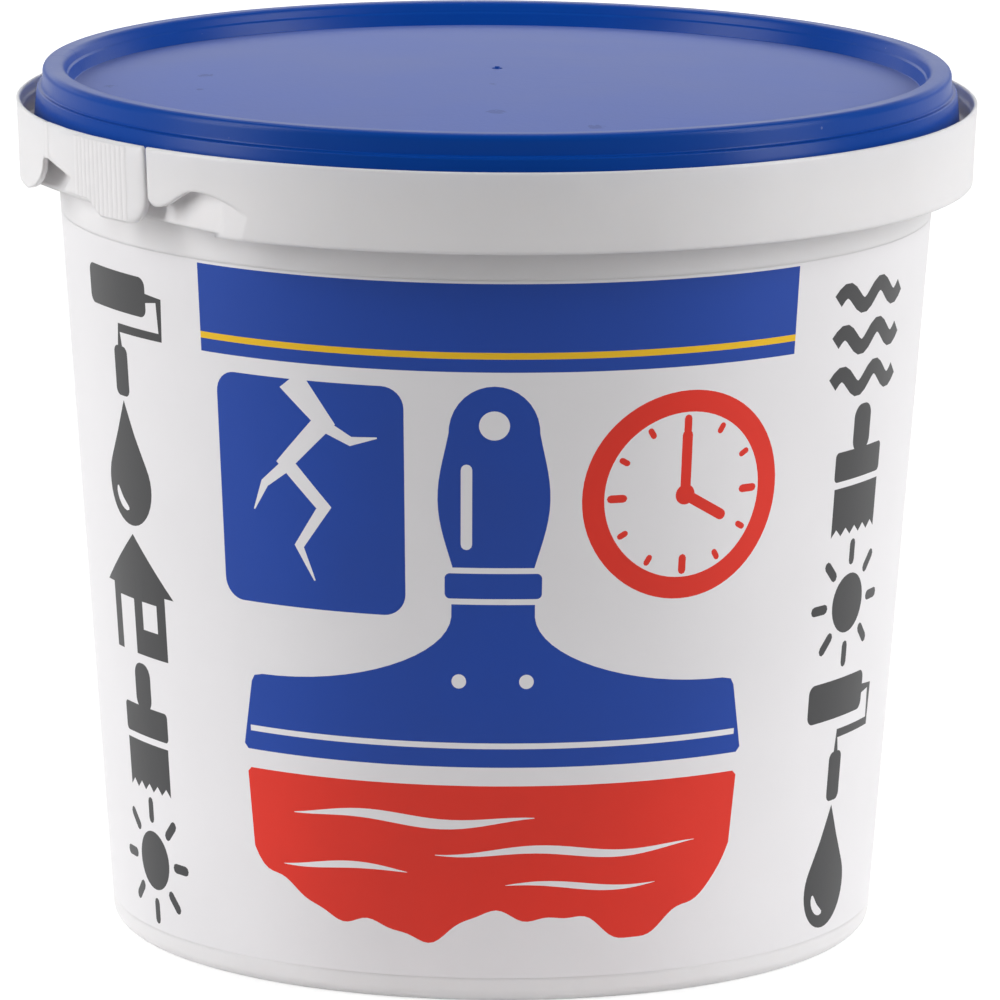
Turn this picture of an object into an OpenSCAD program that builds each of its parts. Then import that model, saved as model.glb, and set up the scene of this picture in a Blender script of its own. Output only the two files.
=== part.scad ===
// Wall filler tub of about one litre: a tapered moulded tub with a deep collar,
// a press-on lid that sits inside the collar, a tear tab in the collar,
// a label film around the wall and the filler paste inside.
// Origin at the middle of the foot, +Z up, the label's front faces -Y.
// Angles are counted from the front, positive towards +X. Lengths in millimetres.

/* [Tub] */
// Outside diameter of the wall at the foot
base_d = 105.8; // [96:0.2:112]
// Outside diameter of the wall at the mouth
mouth_d = 123.5; // [118:0.1:140]
// Height of the mouth above the foot
tub_h = 119.4; // [90:0.2:160]
// Thickness of the wall
wall_t = 1; // [0.7:0.05:1.3]
// Thickness of the floor
floor_t = 1.2; // [0.8:0.1:2.5]
// Outside rounding between wall and foot
base_round = 2; // [1:0.25:4]
// Inside rounding between wall and floor
floor_round = 2.5; // [1:0.25:5]
// Width of the ring that the tub stands on
foot_w = 3.5; // [2:0.25:8]
// Height of the floor's underside above the foot
foot_h = 1.2; // [0.6:0.1:2.5]
// Radius of the moulding gate's stub under the floor
gate_r = 1.6; // [0.8:0.1:3]
// Height of the gate's stub
gate_h = 0.5; // [0.2:0.1:0.5]
// Height of the snap bead around the mouth
bead_h = 0.4; // [0.2:0.05:0.5]
// Length of the snap bead along the wall
bead_len = 1.6; // [1:0.1:2]
// Distance of the bead's middle below the mouth
bead_drop = 3.1; // [2.4:0.1:3.6]

/* [Collar] */
// Height of the collar
collar_h = 11.05; // [10:0.05:14]
// Distance of the collar's top below the mouth
collar_drop = 3.5; // [2:0.1:4.5]
// Thickness of the collar
collar_t = 0.8; // [0.7:0.05:1.2]
// Thickness of the collar's upper edge
collar_edge_t = 0.55; // [0.4:0.05:0.7]
// Height of the thinner upper edge
collar_edge_h = 1.6; // [0.8:0.1:2.4]
// How much the collar's radius shrinks from top to bottom
collar_taper = 0.5; // [0:0.1:1.2]
// Gap between the lid's skirt and the collar's upper edge
channel_gap = 1.88; // [1.6:0.02:4]
// Thickness of the web that joins wall and collar
web_t = 1; // [0.7:0.05:1.5]

/* [Lid] */
// Thickness of the lid's rim and skirt
lid_t = 0.9; // [0.7:0.05:1.2]
// Thickness of the lid's panel
panel_t = 1; // [0.7:0.05:1.5]
// Depth of the panel's edge below the rim
panel_depth = 3.2; // [2:0.1:4]
// How far the panel domes up to its middle
panel_rise = 2.6; // [0.5:0.1:3]
// Height of the rim's upright side
side_h = 3; // [2.4:0.1:3.6]
// Step outward from the rim's side to the skirt
skirt_step = 0.75; // [0.6:0.05:1.2]
// Further flare of the skirt down to its edge
skirt_flare = 0.45; // [0.2:0.05:0.6]
// Height of the skirt
skirt_h = 4.6; // [3.6:0.1:5.4]
// Thickness of the plug that goes into the mouth
plug_t = 0.8; // [0.6:0.05:1.1]
// Length of the plug below the panel
lip_h = 2.6; // [1:0.1:4]
// Rounding of the rim's upper edges
rim_round = 1; // [0.3:0.05:1.1]
// How far the recess wall leans in down to the panel
recess_lean = 1; // [0.2:0.1:1.5]
// Width of the small step on the recess wall
recess_step = 0.25; // [0.1:0.05:0.35]
// Rounding between recess wall and panel
panel_round = 0.3; // [0.2:0.05:0.6]
// Radius of the gate mark in the panel
dimple_r = 0.8; // [0.4:0.1:2]
// Depth of the gate mark
dimple_depth = 0.3; // [0.1:0.05:0.4]

/* [Tear tab] */
// Angle of the tab's middle from the front
tab_a = -56; // [-75:1:-50]
// Distance from the tab's middle to the slit
tab_right = 12.5; // [11.5:0.1:15]
// Distance from the tab's middle to its neck
tab_left = 12.6; // [11.6:0.1:15]
// Width of the slit beside the tab
slit_w = 0.45; // [0.35:0.05:1.5]
// Height of the tab's lower edge above the collar's
tab_rise = 0.15; // [0.1:0.05:0.4]
// Rounding of the tab's free lower corner
tab_round = 4; // [2:0.25:4.5]
// Width of the tab's deep part, from the slit
tab_deep_w = 9.5; // [7:0.25:10]
// Width of the step from the deep part to the shallow part
tab_step_w = 4; // [2:0.25:5]
// Height of that step
tab_step_h = 2; // [1:0.1:2.4]
// Width of the tab below its neck, from the slit
tab_flag_w = 19.7; // [17:0.1:20.5]
// Height of the tab's free left edge
tab_leg_h = 2.3; // [1.5:0.1:2.5]
// How far that edge leans to the right
tab_lean = 2; // [0:0.1:2.5]
// Thickness of the tab's neck
neck_t = 0.65; // [0.5:0.05:0.65]
// Number of grip ribs
rib_count = 12; // [6:1:14]
// Spacing of the grip ribs
rib_pitch = 1.04; // [0.9:0.01:1.2]
// Width of a grip rib
rib_w = 0.55; // [0.3:0.05:0.75]
// Height of a grip rib
rib_h = 0.15; // [0.1:0.05:0.5]
// Distance of the last rib from the slit
rib_margin = 4.3; // [2:0.1:5]
// Distance of the ribs' ends from the collar's top
rib_end = 0.5; // [0.5:0.1:2]

/* [Finger scoop] */
// Angle of the scoop's deepest point from the front
scoop_a = -58; // [-75:1:-52]
// Ledge left between the snap bead and the scoop
scoop_ledge = 0.6; // [0.4:0.05:0.9]
// Radius of the scoop's wide shallow curve
scoop_flat_r = 150; // [110:1:180]
// Height of the scoop's lower edge above the collar's
scoop_rise = 0.6; // [0.4:0.05:0.8]
// Radius of the curve in which the scoop fades out under the arch
fade_r = 75; // [72:1:90]
// Angle from the front where the scoop has faded out
fade_a = -29; // [-32:0.5:-28]
// Slant between scoop and collar at that end
fade_slant = 7.5; // [5:0.5:10]
// Length of the lobe between slit and arch, below the web
lobe_len = 3; // [2:0.1:4]
// Width of that lobe's round end
lobe_w = 3.5; // [2.4:0.1:4.5]
// Distance from the lobe's round end to the top of the arch
arch_rise_w = 7; // [6:0.1:9]
// Distance from the top of the arch to its far end at the collar's foot
arch_fade_w = 12.7; // [10:0.1:13.5]
// Height of the collar's edge left below the web, over arch and notch
arch_lip = 0.2; // [0.1:0.05:0.5]
// Distance from the neck to the notch's far side
notch_w = 1.8; // [1.6:0.1:3]
// Width of the round corner between notch and collar
notch_corner_w = 14; // [8:0.25:16]
// Height of that corner
notch_corner_h = 5.3; // [4:0.1:5.6]

/* [Label] */
// Height of the label's lower edge
label_bottom = 3.5; // [2.5:0.1:8]
// Distance of the label's upper edge below the collar
label_drop = 4.45; // [1:0.05:12]
// Thickness of the label film
label_t = 0.15; // [0.08:0.01:0.3]
// Width of the seam at the back
label_seam = 1.5; // [0.5:0.1:4]

/* [Filler] */
// Distance of the filler's surface below the mouth
headspace = 15; // [12:0.5:60]

/* [Clearances] */
// Between the mouth's outside and the lid
lid_clear = 0.22; // [0.15:0.01:0.3]
// Between the plug and the mouth's inside
plug_clear = 0.2; // [0.1:0.01:0.3]
// Between the mouth's top and the lid
seat_clear = 0.1; // [0.05:0.01:0.2]
// Between the two snap beads as they pass
snap_clear = 0.12; // [0.08:0.01:0.2]
// Between the skirt's edge and the web
skirt_clear = 0.8; // [0.5:0.05:1.5]
// Between the label film and its bed in the wall
label_clear = 0.05; // [0.03:0.01:0.1]
// Between the filler and the tub
filler_clear = 0.1; // [0.05:0.01:0.3]
// Between the tab's round neck and the collar
neck_clear = 0.15; // [0.1:0.01:0.3]

/* [Hidden] */
$fn = 144;

arc_steps = 6;
curve_steps = 10;
past = 1;

slope = (mouth_d - base_d) / 2 / tub_h;
draft = atan(slope);
function wall_r(z) = base_d / 2 + slope * z;

floor_z = foot_h + floor_t;
fill_z = tub_h - headspace;

lid_top = tub_h + seat_clear + lid_t;
lid_ceiling = tub_h + seat_clear;
panel_z = lid_top - panel_depth;
panel_under = panel_z - panel_t;
lip_z = panel_under - lip_h;
side_z = lid_top - side_h;
skirt_z = side_z - skirt_h;
web_z = skirt_z - skirt_clear - web_t;
web_top = web_z + web_t;

bead_z = tub_h - bead_drop;
bead_r = wall_r(bead_z) + bead_h;
lid_bead_len = skirt_step + bead_len / 2;

side_in = mouth_d / 2 + lid_clear;
side_out = side_in + lid_t;
skirt_top_r = side_out + skirt_step;
skirt_edge_r = skirt_top_r + skirt_flare;
function plug_r(z) = wall_r(z) - wall_t - plug_clear;
function skirt_r(z) = skirt_top_r + skirt_flare * (side_z - z) / skirt_h;

collar_z = tub_h - collar_drop;
collar_foot = collar_z - collar_h;
collar_r = skirt_edge_r + channel_gap + collar_edge_t;
collar_slope = collar_taper / collar_h;
function collar_out(z) = collar_r - collar_slope * (collar_z - z);
function collar_in(z) = collar_out(z) - collar_t;

label_top = collar_foot - label_drop;
label_bed = label_t + label_clear;

scoop_r = wall_r(web_top) + bead_h + scoop_ledge;
scoop_z = collar_foot + scoop_rise;
scoop_t = scoop_r - wall_r(scoop_z) + wall_t / 3;

tab_z = collar_foot + tab_rise;
tab_shelf = tab_z + tab_step_h;
tab_crook = tab_shelf + tab_leg_h;
tab_left_x = tab_right - tab_flag_w;
neck_z = (web_top + collar_z) / 2;
neck_r = collar_out(neck_z) - collar_t / 2;
neck_a = tab_a - asin(tab_left / neck_r);
neck_tilt = atan(collar_slope);
slit_a = tab_a + asin((tab_right + slit_w) / collar_out(web_z));
lobe_z = web_z - lobe_len;
arch_z = web_z - arch_lip;
reach = collar_r + rib_h + past;

// Points of an oval arc from one angle to another
function oval(x, y, rx, ry, from, to) =
    [for (i = [0:arc_steps]) let (a = from + (to - from) * i / arc_steps)
        [x + rx * cos(a), y + ry * sin(a)]];

// Points of a round arc
function arc(x, y, r, from, to) = oval(x, y, r, r, from, to);

// Points of a smooth step between two points, level at both ends
function ease(p, q) =
    [for (i = [0:curve_steps]) let (t = i / curve_steps)
        [p.x + (q.x - p.x) * t, p.y + (q.y - p.y) * (1 - cos(180 * t)) / 2]];

// Points of a curve that leaves one point level and falls ever faster to another
function fall(p, q) =
    [for (i = [0:curve_steps]) let (t = i / curve_steps)
        [p.x + (q.x - p.x) * t, p.y + (q.y - p.y) * t * t]];

// Centre of a rounding between the drafted wall line and a level line
function corner_x(r, round) = r - round * (1 - sin(draft)) / cos(draft);

// Turns a shape built on the front to an angle around the tub
module at_angle(a) {
    rotate([0, 0, a]) children();
}

// A prism that runs radially outward from a flat outline of width and height
module radial_prism(outline, from, to) {
    rotate([90, 0, 0]) translate([0, 0, from])
        linear_extrude(height = to - from) polygon(outline);
}

// The tub in section: foot, wall, web, collar, rim and inside
function tub_section() = let (
        foot_x = corner_x(base_d / 2, base_round),
        foot_in = foot_x - foot_w,
        floor_x = corner_x(wall_r(floor_z) - wall_t, floor_round)
    ) concat(
        [[0, foot_h - gate_h], [gate_r, foot_h - gate_h], [gate_r, foot_h],
         [foot_in - foot_h, foot_h], [foot_in, 0]],
        arc(foot_x, base_round, base_round, -90, -draft),
        [[wall_r(label_bottom), label_bottom],
         [wall_r(label_bottom) - label_bed, label_bottom],
         [wall_r(label_top) - label_bed, label_top],
         [wall_r(label_top), label_top],
         [wall_r(web_z), web_z],
         [collar_in(web_z), web_z],
         [collar_in(collar_foot), collar_foot],
         [collar_out(collar_foot) - collar_t / 4, collar_foot],
         [collar_out(collar_foot + collar_t / 4), collar_foot + collar_t / 4],
         [collar_out(collar_z - collar_edge_t / 4), collar_z - collar_edge_t / 4],
         [collar_r - collar_edge_t / 4, collar_z],
         [collar_r - collar_edge_t * 3 / 4, collar_z],
         [collar_out(collar_z - collar_edge_t / 4) - collar_edge_t, collar_z - collar_edge_t / 4],
         [collar_out(collar_z - collar_edge_h) - collar_edge_t, collar_z - collar_edge_h],
         [collar_in(collar_z - collar_edge_h), collar_z - collar_edge_h],
         [collar_in(web_top), web_top],
         [wall_r(web_top), web_top],
         [wall_r(bead_z - bead_len / 2), bead_z - bead_len / 2],
         [bead_r, bead_z],
         [wall_r(bead_z + bead_len / 2), bead_z + bead_len / 2],
         [wall_r(tub_h - wall_t / 4), tub_h - wall_t / 4],
         [mouth_d / 2 - wall_t / 4, tub_h],
         [mouth_d / 2 - wall_t * 3 / 4, tub_h],
         [wall_r(tub_h - wall_t / 4) - wall_t, tub_h - wall_t / 4]],
        arc(floor_x, floor_z + floor_round, floor_round, -draft, -90),
        [[0, floor_z]]);

// Points of the domed panel from its middle out to a radius, on an edge height
function dome(r, z) = [for (k = [0 : arc_steps])
    [r * k / arc_steps, z + panel_rise * (1 - pow(k / arc_steps, 2))]];

// The lid in section: panel, plug, seat, snap bead, skirt and rim
function lid_section() = let (
        rim_in = plug_r(lid_ceiling) - plug_t + recess_step,
        mid_r = rim_in - recess_lean / 2,
        recess_r = rim_in - recess_lean - recess_step,
        step_z = (panel_z + lid_top) / 2,
        snap_r = bead_r + snap_clear,
        snap_z = bead_z - bead_len / 2 - lid_bead_len / 2,
        crown = dome(recess_r - panel_round, panel_z),
        gate_z = panel_z + panel_rise
    ) concat(
        dome(plug_r(panel_under) - plug_t, panel_under),
        [[plug_r(lip_z) - plug_t, lip_z],
         [plug_r(lip_z) - plug_t / 3, lip_z],
         [plug_r(lip_z + plug_t / 3), lip_z + plug_t / 3],
         [plug_r(lid_ceiling), lid_ceiling],
         [side_in, lid_ceiling],
         [side_in, side_z - lid_t / 2],
         [skirt_r(side_z - lid_t) - lid_t, side_z - lid_t],
         [skirt_r(snap_z + lid_bead_len / 2) - lid_t, snap_z + lid_bead_len / 2],
         [snap_r, snap_z],
         [skirt_r(snap_z - lid_bead_len / 2) - lid_t, snap_z - lid_bead_len / 2],
         [skirt_edge_r - lid_t, skirt_z],
         [skirt_edge_r - lid_t / 4, skirt_z],
         [skirt_r(skirt_z + lid_t / 4), skirt_z + lid_t / 4],
         [skirt_r(side_z - lid_t / 3), side_z - lid_t / 3],
         [skirt_top_r - lid_t / 3, side_z],
         [side_out - lid_t / 6, side_z],
         [side_out, side_z + lid_t / 6]],
        arc(side_out - rim_round, lid_top - rim_round, rim_round, 0, 90),
        arc(rim_in + rim_round, lid_top - rim_round, rim_round, 90, 180),
        [[mid_r, step_z + recess_step], [mid_r - recess_step, step_z]],
        arc(recess_r - panel_round, panel_z + panel_round, panel_round, 0, -90),
        [for (k = [arc_steps - 1 : -1 : 1]) crown[k]],
        [[dimple_r, gate_z], [dimple_r * 0.7, gate_z - dimple_depth],
         [0, gate_z - dimple_depth]]);

// The collar alone in section, for the piece that the tab is cut from
function collar_section() =
    [[collar_in(collar_foot), collar_foot],
     [collar_out(collar_foot), collar_foot],
     [collar_out(collar_z - collar_edge_t / 4), collar_z - collar_edge_t / 4],
     [collar_r - collar_edge_t / 4, collar_z],
     [collar_r - collar_edge_t * 3 / 4, collar_z],
     [collar_out(collar_z - collar_edge_t / 4) - collar_edge_t, collar_z - collar_edge_t / 4],
     [collar_out(collar_z - collar_edge_h) - collar_edge_t, collar_z - collar_edge_h],
     [collar_in(collar_z - collar_edge_h), collar_z - collar_edge_h]];

// Outline of the tab as seen from outside: deep grip part, step, shelf, neck
function tab_outline(top) = concat(
    [[tab_right, top], [-tab_left - past, top], [-tab_left - past, arch_z],
     [-tab_left, arch_z],
     [tab_left_x + tab_lean, tab_crook],
     [tab_left_x, tab_shelf + tab_step_h / 4], [tab_left_x + tab_step_h / 4, tab_shelf]],
    ease([tab_right - tab_deep_w - tab_step_w, tab_shelf], [tab_right - tab_deep_w, tab_z]),
    arc(tab_right - tab_round, tab_z + tab_round, tab_round, -90, 0));

// Opening in the collar around the tab, from the slit to the neck
function window_outline() =
    [[tab_right + slit_w, collar_foot - past], [tab_right + slit_w, collar_z + past],
     [-tab_left - collar_t - past, collar_z + past],
     [-tab_left - collar_t - past, collar_foot - past]];

// Notch under the neck, round towards the full collar
function notch_outline() = let (
        far_x = -tab_left - notch_w,
        corner_z = collar_foot + notch_corner_h
    ) concat(
        [[-tab_left + past, collar_foot - past], [-tab_left + past, arch_z]],
        oval(-tab_left - collar_t, corner_z, notch_w - collar_t, arch_z - corner_z, 90, 180),
        oval(far_x - notch_corner_w, corner_z, notch_corner_w, notch_corner_h + arch_lip, 0, -90),
        [[far_x - notch_corner_w, collar_foot - past]]);

// Space under the lobe and the arch, counted from the slit
function arch_outline() = let (
        lobe_r = lobe_w / 2,
        lobe_x = lobe_r - slit_w / 4,
        top_x = lobe_x + arch_rise_w,
        end_x = top_x + arch_fade_w
    ) concat(
        [[-slit_w - past, collar_foot - past], [-slit_w - past, lobe_z + lobe_r]],
        arc(lobe_x, lobe_z + lobe_r, lobe_r, 180, 270),
        ease([lobe_x, lobe_z], [top_x, arch_z]),
        fall([top_x, arch_z], [end_x, collar_foot - arch_lip]),
        [[end_x, collar_foot - past]]);

// Upright cylinder whose front forms the scoop behind the tab
module scoop_cylinder(r, from, to) {
    at_angle(scoop_a) translate([0, scoop_flat_r - scoop_r, from])
        cylinder(r = r, h = to - from);
}

// The same with its right-hand end curved out to the collar, to cut against
module scoop_body(from, to) {
    difference() {
        scoop_cylinder(scoop_flat_r, from, to);
        difference() {
            at_angle(slit_a) translate([lobe_w, -reach, from - past])
                cube([reach, reach, to - from + past * 2]);
            at_angle(fade_a) translate([0, -collar_out(web_z), from - past * 2])
                rotate([0, 0, -fade_slant]) translate([0, fade_r, 0])
                    cylinder(r = fade_r, h = to - from + past * 4);
        }
    }
}

// Wall of the scoop, between the tub's wall and the collar
module scoop_wall() {
    intersection() {
        difference() {
            scoop_cylinder(scoop_flat_r, scoop_z, web_z + web_t / 2);
            scoop_cylinder(scoop_flat_r - scoop_t, scoop_z - past, web_top);
        }
        rotate_extrude() polygon([
            [wall_r(scoop_z) - wall_t * 2 / 3, scoop_z],
            [collar_out(scoop_z) - collar_t / 2, scoop_z],
            [collar_out(web_top) - collar_t / 2, web_top],
            [wall_r(web_top) - wall_t * 2 / 3, web_top]]);
    }
}

// What is cut out of the collar in front of the scoop
module scoop_cuts() {
    start = wall_r(collar_z) - wall_t - past * 6;
    difference() {
        union() {
            difference() {
                at_angle(tab_a) radial_prism(window_outline(), start, reach);
                neck_side() translate([-reach, -reach, collar_foot - past * 2])
                    cube([reach - neck_t / 2 - neck_clear, reach, collar_h + past * 4]);
            }
            at_angle(tab_a) radial_prism(notch_outline(), start, reach);
            at_angle(slit_a) radial_prism(arch_outline(), start, reach);
        }
        scoop_body(collar_foot - past * 2, collar_z + past * 2);
    }
}

// Places a shape at the neck, with the radial plane through its pivot at x = 0
module neck_side() {
    at_angle(neck_a) children();
}

// Round edge of the tab on the pivot line, along the collar's slope
module neck_round(r) {
    neck_side() translate([0, -neck_r, neck_z]) rotate([neck_tilt, 0, 0])
        translate([0, 0, -collar_h]) cylinder(r = r, h = 2 * collar_h);
}

module tub() {
    color([0.93, 0.93, 0.92]) difference() {
        union() {
            rotate_extrude() polygon(tub_section());
            scoop_wall();
        }
        scoop_cuts();
    }
}

module tear_tab() {
    ribs_from = tab_right - rib_margin - (rib_count - 1) * rib_pitch;
    color([0.91, 0.91, 0.9]) {
        intersection() {
            rotate_extrude() polygon(collar_section());
            at_angle(tab_a) radial_prism(tab_outline(collar_z + past), 0, collar_r + past);
            neck_side() translate([0, -collar_r - past, 0])
                cube([collar_r, collar_r + past, lid_top]);
        }
        intersection() {
            neck_round(neck_t / 2);
            rotate_extrude() polygon([[0, arch_z], [collar_r + past, arch_z],
                [collar_r + past, collar_z - collar_edge_h], [0, collar_z - collar_edge_h]]);
        }
        intersection() {
            rotate_extrude() polygon([
                [collar_out(collar_foot) - collar_t / 2, collar_foot],
                [collar_out(collar_foot) + rib_h, collar_foot],
                [collar_out(collar_z - rib_end) + rib_h, collar_z - rib_end],
                [collar_out(collar_z - rib_end) - collar_t / 2, collar_z - rib_end]]);
            at_angle(tab_a) radial_prism(tab_outline(collar_z), 0, collar_r + past);
            at_angle(tab_a) for (i = [0:rib_count - 1])
                translate([ribs_from + i * rib_pitch - rib_w / 2, -collar_r - past, collar_foot])
                    cube([rib_w, collar_r, collar_h]);
        }
    }
}

module lid() {
    color([0.1, 0.24, 0.53]) rotate_extrude() polygon(lid_section());
}

module label() {
    color([0.95, 0.94, 0.95]) difference() {
        rotate_extrude() polygon([
            [wall_r(label_bottom + label_clear) - label_t, label_bottom + label_clear],
            [wall_r(label_bottom + label_clear), label_bottom + label_clear],
            [wall_r(label_top - label_clear), label_top - label_clear],
            [wall_r(label_top - label_clear) - label_t, label_top - label_clear]]);
        translate([-label_seam / 2, 0, label_bottom - past])
            cube([label_seam, mouth_d, label_top - label_bottom + 2 * past]);
    }
}

module filler() {
    low_z = floor_z + filler_clear;
    side = wall_t + filler_clear / cos(draft);
    round_r = floor_round - filler_clear;
    color([0.97, 0.96, 0.94]) rotate_extrude() polygon(concat(
        [[0, low_z]],
        arc(corner_x(wall_r(floor_z) - wall_t, floor_round), floor_z + floor_round,
            round_r, -90, -draft),
        [[wall_r(fill_z) - side, fill_z], [0, fill_z]]));
}

tub();
tear_tab();
lid();
label();
filler();
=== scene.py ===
import math

import bpy
from mathutils import Euler, Matrix, Vector, noise
from mathutils.geometry import delaunay_2d_cdt


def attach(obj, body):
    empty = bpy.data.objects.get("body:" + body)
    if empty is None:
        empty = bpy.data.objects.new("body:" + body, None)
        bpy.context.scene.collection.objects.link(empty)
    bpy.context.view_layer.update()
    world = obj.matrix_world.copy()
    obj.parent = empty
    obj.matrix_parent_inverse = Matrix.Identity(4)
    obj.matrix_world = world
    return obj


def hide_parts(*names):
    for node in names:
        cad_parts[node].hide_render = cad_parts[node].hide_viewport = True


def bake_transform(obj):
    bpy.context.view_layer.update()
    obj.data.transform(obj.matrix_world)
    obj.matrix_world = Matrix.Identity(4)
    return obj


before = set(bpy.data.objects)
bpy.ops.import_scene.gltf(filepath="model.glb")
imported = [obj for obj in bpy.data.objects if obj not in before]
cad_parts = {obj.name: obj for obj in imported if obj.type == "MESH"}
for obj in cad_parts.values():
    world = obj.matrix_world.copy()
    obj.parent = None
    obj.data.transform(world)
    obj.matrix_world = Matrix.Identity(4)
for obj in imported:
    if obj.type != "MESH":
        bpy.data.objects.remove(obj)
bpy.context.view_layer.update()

mm = 0.001  # shapes are worked out in millimetres, meshes are in metres
tiny = 1e-6
scene = bpy.context.scene
scene.view_settings.view_transform = "Standard"
print("frame loaded:", ", ".join(sorted(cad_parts)))


# camera: a long lens a little above the rim, as in the photograph
cameraView = {
    "lift": 11.193, "distance": 1.3, "aimHeight": 0.05978, "roll": 0.4285,
    "lens": 335.25, "sensor": 36, "shift": (0.00599, -0.0063), "reach": 20,
}


def addCamera(view):
    lens = bpy.data.cameras.new("productCamera")
    lens.lens, lens.sensor_width = view["lens"], view["sensor"]
    lens.shift_x, lens.shift_y = view["shift"]
    lens.clip_end = view["reach"]
    lift = math.radians(view["lift"])
    back = Vector((0, -view["distance"] * math.cos(lift), view["distance"] * math.sin(lift)))
    camera = bpy.data.objects.new("productCamera", lens)
    camera.matrix_world = (
        Matrix.Translation(back + Vector((0, 0, view["aimHeight"])))
        @ Euler((math.pi / 2 - lift, 0, 0)).to_matrix().to_4x4()
        @ Matrix.Rotation(math.radians(view["roll"]), 4, "Z"))
    scene.collection.objects.link(camera)
    scene.camera = camera


addCamera(cameraView)
print("camera set")


# node trees, for materials, world and geometry alike
def pickSocket(node, name):  # by name, or by place: in0, in1 and so on
    byPlace = name.startswith("in") and name[2:].isdigit()
    return node.inputs[int(name[2:]) if byPlace else name]


def addNode(tree, kind, settings=(), **inputs):
    node = tree.nodes.new(kind)
    for name, value in dict(settings).items():
        setattr(node, name, value)
    for name, value in inputs.items():
        socket = pickSocket(node, name)
        if isinstance(value, bpy.types.NodeSocket):
            tree.links.new(value, socket)
        else:
            socket.default_value = value
    return node


def calc(tree, operation, a, b=0.0, c=0.0):
    settings = {"operation": operation}
    return addNode(tree, "ShaderNodeMath", settings, in0=a, in1=b, in2=c).outputs[0]


def remap(tree, value, low, high, toLow, toHigh, curve="LINEAR"):
    limits = {"From Min": low, "From Max": high, "To Min": toLow, "To Max": toHigh}
    settings = {"interpolation_type": curve}
    return addNode(tree, "ShaderNodeMapRange", settings, Value=value, **limits).outputs[0]


def mixColours(tree, share, a, b):
    settings = {"data_type": "RGBA"}
    return addNode(tree, "ShaderNodeMix", settings, in0=share, in6=a, in7=b).outputs[2]


def combine(tree, **parts):
    return addNode(tree, "ShaderNodeCombineXYZ", **parts).outputs[0]


def shade(colour, factor):
    return tuple(min(1, c * factor) for c in colour) + (1,)


# plain soft studio: softboxes and slim strips at the sides, one box overhead,
# a low white card behind and a pale floor
lampRig = {
    "leftBox": {"turn": -74, "lift": 24, "away": 1.15, "size": (0.42, 1.0), "watts": 9.0},
    "rightBox": {"turn": 74, "lift": 24, "away": 1.15, "size": (0.42, 1.0), "watts": 8.4},
    "leftStrip": {"turn": -65, "lift": 24, "away": 1.15, "size": (0.14, 0.9), "watts": 1.6},
    "rightStrip": {"turn": 65, "lift": 24, "away": 1.15, "size": (0.14, 0.9), "watts": 2.2},
    "topBox": {"turn": 180, "lift": 60, "away": 1.2, "size": (0.9, 0.6), "watts": 2.4},
    "backCard": {"turn": 180, "lift": 24, "away": 0.36, "size": (0.9, 0.1), "watts": 0.3},
}
# the world fades between two levels from front to back, apart for diffuse and glossy rays,
# and the floor fades with the distance from the middle
studio = {
    "aim": (0, 0, 0.06), "soft": (0.1, 0.4), "softFade": (0.0, 0.9),
    "gloss": (0.02, 0.35), "glossFade": (-0.1, 0.8),
    "floorSize": 8, "floorShade": 0.4, "floorGlow": 0.74, "whiteFade": (0.3, 0.9),
    "bounce": (0.8, 0.12), "bounceFade": (0.12, 0.45),
}


def addLamp(name, lamp):
    light = bpy.data.lights.new(name, "AREA")
    light.shape, light.energy = "RECTANGLE", lamp["watts"]
    light.size, light.size_y = lamp["size"]
    turn, lift = math.radians(lamp["turn"]), math.radians(lamp["lift"])
    level = math.cos(lift)
    way = Vector((math.sin(turn) * level, -math.cos(turn) * level, math.sin(lift)))
    box = bpy.data.objects.new(name, light)
    box.matrix_world = (Matrix.Translation(Vector(studio["aim"]) + way * lamp["away"])
                        @ way.to_track_quat("Z", "Y").to_matrix().to_4x4())
    box.visible_camera = False
    scene.collection.objects.link(box)


def rayKinds(tree):  # is it a camera ray, is it a glossy or clear one
    path = addNode(tree, "ShaderNodeLightPath").outputs
    return path["Is Camera Ray"], calc(tree, "MAXIMUM", path["Is Glossy Ray"],
                                       path["Is Transmission Ray"])


def buildWorld():
    world = bpy.data.worlds.new("studioWorld")
    scene.world = world
    world.use_nodes = True
    tree = world.node_tree
    tree.nodes.clear()
    camera, gloss = rayKinds(tree)
    way = addNode(tree, "ShaderNodeTexCoord").outputs["Generated"]
    depth = addNode(tree, "ShaderNodeSeparateXYZ", Vector=way).outputs["Y"]
    glossLevel = remap(tree, depth, *studio["glossFade"], *studio["gloss"])
    softLevel = remap(tree, depth, *studio["softFade"], *studio["soft"])
    more = calc(tree, "SUBTRACT", glossLevel, softLevel)
    level = calc(tree, "MULTIPLY_ADD", gloss, more, softLevel)
    level = calc(tree, "MAXIMUM", level, camera)  # the camera sees plain white
    sky = addNode(tree, "ShaderNodeBackground", Color=(1, 1, 1, 1), Strength=level)
    addNode(tree, "ShaderNodeOutputWorld", Surface=sky.outputs[0])


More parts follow.
